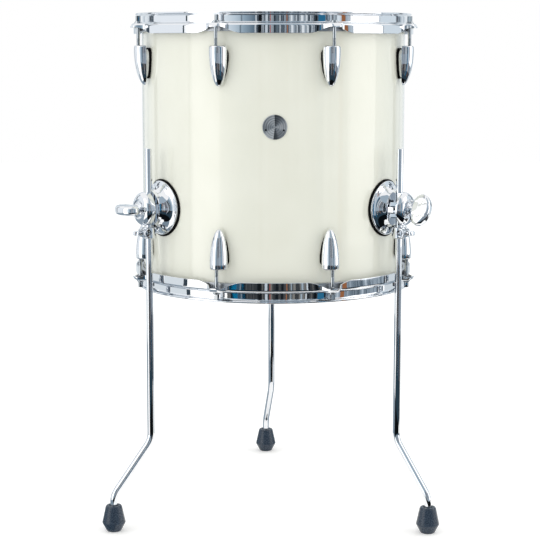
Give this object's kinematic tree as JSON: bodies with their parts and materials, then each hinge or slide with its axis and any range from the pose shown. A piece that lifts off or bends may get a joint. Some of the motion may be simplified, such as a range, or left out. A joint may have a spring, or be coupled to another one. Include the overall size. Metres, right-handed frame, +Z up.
{
  "type": "floor tom drum",
  "caption": "Floor tom: deep lacquered wooden shell with tensioned heads, chromed hoops and lugs, standing on height-adjustable bent legs with rubber feet.",
  "frame": {"origin": "centre of the whole object's box, on the floor under the feet", "axes": "+Z up along the drum's axis, -Y is the front with the badge, +X to the right seen from the front. The drum axis passes through x = 5.0 mm, y = -46.0 mm."},
  "size_m": [0.5028, 0.5256, 0.771],
  "materials": {
    "lacquered_wood": "cream gloss lacquer",
    "coated_film": "sprayed matt white coating on polyester film",
    "clear_film": "hazy polyester film",
    "chromed_steel": "polished chrome on steel",
    "chromed_casting": "polished chrome on zinc casting",
    "brushed_nickel": "dark brushed nickel with pressed rings",
    "black_rubber": "moulded black rubber"
  },
  "bodies": {
    "root": {"shell": "lacquered_wood", "batter_head": "coated_film", "resonant_head": "clear_film", "top_hoop": "chromed_steel", "bottom_hoop": "chromed_steel", "badge": "brushed_nickel", "vent_grommet": "brushed_nickel", "lug_top_1": "chromed_casting", "lug_top_2": "chromed_casting", "lug_top_3": "chromed_casting", "lug_top_4": "chromed_casting", "lug_top_5": "chromed_casting", "lug_top_6": "chromed_casting", "lug_top_7": "chromed_casting", "lug_top_8": "chromed_casting", "lug_bottom_1": "chromed_casting", "lug_bottom_2": "chromed_casting", "lug_bottom_3": "chromed_casting", "lug_bottom_4": "chromed_casting", "lug_bottom_5": "chromed_casting", "lug_bottom_6": "chromed_casting", "lug_bottom_7": "chromed_casting", "lug_bottom_8": "chromed_casting", "bracket_gasket_left": "black_rubber", "bracket_base_left": "chromed_casting", "bracket_cap_left": "chromed_casting", "bracket_gasket_right": "black_rubber", "bracket_base_right": "chromed_casting", "bracket_cap_right": "chromed_casting", "bracket_gasket_rear": "black_rubber", "bracket_base_rear": "chromed_casting", "bracket_cap_rear": "chromed_casting"},
    "left_lock": {"memory_lock_left": "chromed_casting"},
    "left_leg": {"leg_left": "chromed_steel", "foot_left": "black_rubber"},
    "left_wing_bolt": {"wing_bolt_left": "chromed_casting"},
    "right_lock": {"memory_lock_right": "chromed_casting"},
    "right_leg": {"leg_right": "chromed_steel", "foot_right": "black_rubber"},
    "right_wing_bolt": {"wing_bolt_right": "chromed_casting"},
    "rear_lock": {"memory_lock_rear": "chromed_casting"},
    "rear_leg": {"leg_rear": "chromed_steel", "foot_rear": "black_rubber"},
    "rear_wing_bolt": {"wing_bolt_rear": "chromed_casting"},
    "rod_top_1": {"tension_rod_top_1": "chromed_steel"},
    "rod_top_2": {"tension_rod_top_2": "chromed_steel"},
    "rod_top_3": {"tension_rod_top_3": "chromed_steel"},
    "rod_top_4": {"tension_rod_top_4": "chromed_steel"},
    "rod_top_5": {"tension_rod_top_5": "chromed_steel"},
    "rod_top_6": {"tension_rod_top_6": "chromed_steel"},
    "rod_top_7": {"tension_rod_top_7": "chromed_steel"},
    "rod_top_8": {"tension_rod_top_8": "chromed_steel"},
    "rod_bottom_1": {"tension_rod_bottom_1": "chromed_steel"},
    "rod_bottom_2": {"tension_rod_bottom_2": "chromed_steel"},
    "rod_bottom_3": {"tension_rod_bottom_3": "chromed_steel"},
    "rod_bottom_4": {"tension_rod_bottom_4": "chromed_steel"},
    "rod_bottom_5": {"tension_rod_bottom_5": "chromed_steel"},
    "rod_bottom_6": {"tension_rod_bottom_6": "chromed_steel"},
    "rod_bottom_7": {"tension_rod_bottom_7": "chromed_steel"},
    "rod_bottom_8": {"tension_rod_bottom_8": "chromed_steel"}
  },
  "joints": [
    {"name": "leg_turn_left", "type": "hinge", "parent": "root", "child": "left_lock", "pos_m": [-0.1809, -0.17617, 0.4467], "axis": [0, 0, 1], "range_deg": [-90, 90]},
    {"name": "leg_height_left", "type": "slide", "parent": "left_lock", "child": "left_leg", "axis": [0, 0, 1], "range_m": [-0.06, 0.2]},
    {"name": "wing_bolt_left", "type": "hinge", "parent": "root", "child": "left_wing_bolt", "pos_m": [-0.19974, -0.18936, 0.4825], "axis": [-0.8192, -0.5736, 0], "range_deg": [0, 360]},
    {"name": "leg_turn_right", "type": "hinge", "parent": "root", "child": "right_lock", "pos_m": [0.19099, -0.17617, 0.4467], "axis": [0, 0, 1], "range_deg": [-90, 90]},
    {"name": "leg_height_right", "type": "slide", "parent": "right_lock", "child": "right_leg", "axis": [0, 0, 1], "range_m": [-0.06, 0.2]},
    {"name": "wing_bolt_right", "type": "hinge", "parent": "root", "child": "right_wing_bolt", "pos_m": [0.20983, -0.18936, 0.4825], "axis": [0.8192, -0.5736, 0], "range_deg": [0, 360]},
    {"name": "leg_turn_rear", "type": "hinge", "parent": "root", "child": "rear_lock", "pos_m": [0.00505, 0.18103, 0.4467], "axis": [0, 0, 1], "range_deg": [-90, 90]},
    {"name": "leg_height_rear", "type": "slide", "parent": "rear_lock", "child": "rear_leg", "axis": [0, 0, 1], "range_m": [-0.06, 0.2]},
    {"name": "wing_bolt_rear", "type": "hinge", "parent": "root", "child": "rear_wing_bolt", "pos_m": [0.00505, 0.20403, 0.4825], "axis": [0, 1, 0], "range_deg": [0, 360]},
    {"name": "tension_rod_top_1", "type": "hinge", "parent": "root", "child": "rod_top_1", "pos_m": [0.08904, -0.24876, 0.755], "axis": [0, 0, 1], "range_deg": [-360, 360]},
    {"name": "tension_rod_top_2", "type": "hinge", "parent": "root", "child": "rod_top_2", "pos_m": [0.20784, -0.12996, 0.755], "axis": [0, 0, 1], "range_deg": [-360, 360]},
    {"name": "tension_rod_top_3", "type": "hinge", "parent": "root", "child": "rod_top_3", "pos_m": [0.20784, 0.03803, 0.755], "axis": [0, 0, 1], "range_deg": [-360, 360]},
    {"name": "tension_rod_top_4", "type": "hinge", "parent": "root", "child": "rod_top_4", "pos_m": [0.08904, 0.15683, 0.755], "axis": [0, 0, 1], "range_deg": [-360, 360]},
    {"name": "tension_rod_top_5", "type": "hinge", "parent": "root", "child": "rod_top_5", "pos_m": [-0.07895, 0.15683, 0.755], "axis": [0, 0, 1], "range_deg": [-360, 360]},
    {"name": "tension_rod_top_6", "type": "hinge", "parent": "root", "child": "rod_top_6", "pos_m": [-0.19775, 0.03803, 0.755], "axis": [0, 0, 1], "range_deg": [-360, 360]},
    {"name": "tension_rod_top_7", "type": "hinge", "parent": "root", "child": "rod_top_7", "pos_m": [-0.19775, -0.12996, 0.755], "axis": [0, 0, 1], "range_deg": [-360, 360]},
    {"name": "tension_rod_top_8", "type": "hinge", "parent": "root", "child": "rod_top_8", "pos_m": [-0.07895, -0.24876, 0.755], "axis": [0, 0, 1], "range_deg": [-360, 360]},
    {"name": "tension_rod_bottom_1", "type": "hinge", "parent": "root", "child": "rod_bottom_1", "pos_m": [0.08904, -0.24876, 0.3684], "axis": [0, 0, -1], "range_deg": [-360, 360]},
    {"name": "tension_rod_bottom_2", "type": "hinge", "parent": "root", "child": "rod_bottom_2", "pos_m": [0.20784, -0.12996, 0.3684], "axis": [0, 0, -1], "range_deg": [-360, 360]},
    {"name": "tension_rod_bottom_3", "type": "hinge", "parent": "root", "child": "rod_bottom_3", "pos_m": [0.20784, 0.03803, 0.3684], "axis": [0, 0, -1], "range_deg": [-360, 360]},
    {"name": "tension_rod_bottom_4", "type": "hinge", "parent": "root", "child": "rod_bottom_4", "pos_m": [0.08904, 0.15683, 0.3684], "axis": [0, 0, -1], "range_deg": [-360, 360]},
    {"name": "tension_rod_bottom_5", "type": "hinge", "parent": "root", "child": "rod_bottom_5", "pos_m": [-0.07895, 0.15683, 0.3684], "axis": [0, 0, -1], "range_deg": [-360, 360]},
    {"name": "tension_rod_bottom_6", "type": "hinge", "parent": "root", "child": "rod_bottom_6", "pos_m": [-0.19775, 0.03803, 0.3684], "axis": [0, 0, -1], "range_deg": [-360, 360]},
    {"name": "tension_rod_bottom_7", "type": "hinge", "parent": "root", "child": "rod_bottom_7", "pos_m": [-0.19775, -0.12996, 0.3684], "axis": [0, 0, -1], "range_deg": [-360, 360]},
    {"name": "tension_rod_bottom_8", "type": "hinge", "parent": "root", "child": "rod_bottom_8", "pos_m": [-0.07895, -0.24876, 0.3684], "axis": [0, 0, -1], "range_deg": [-360, 360]}
  ]
}
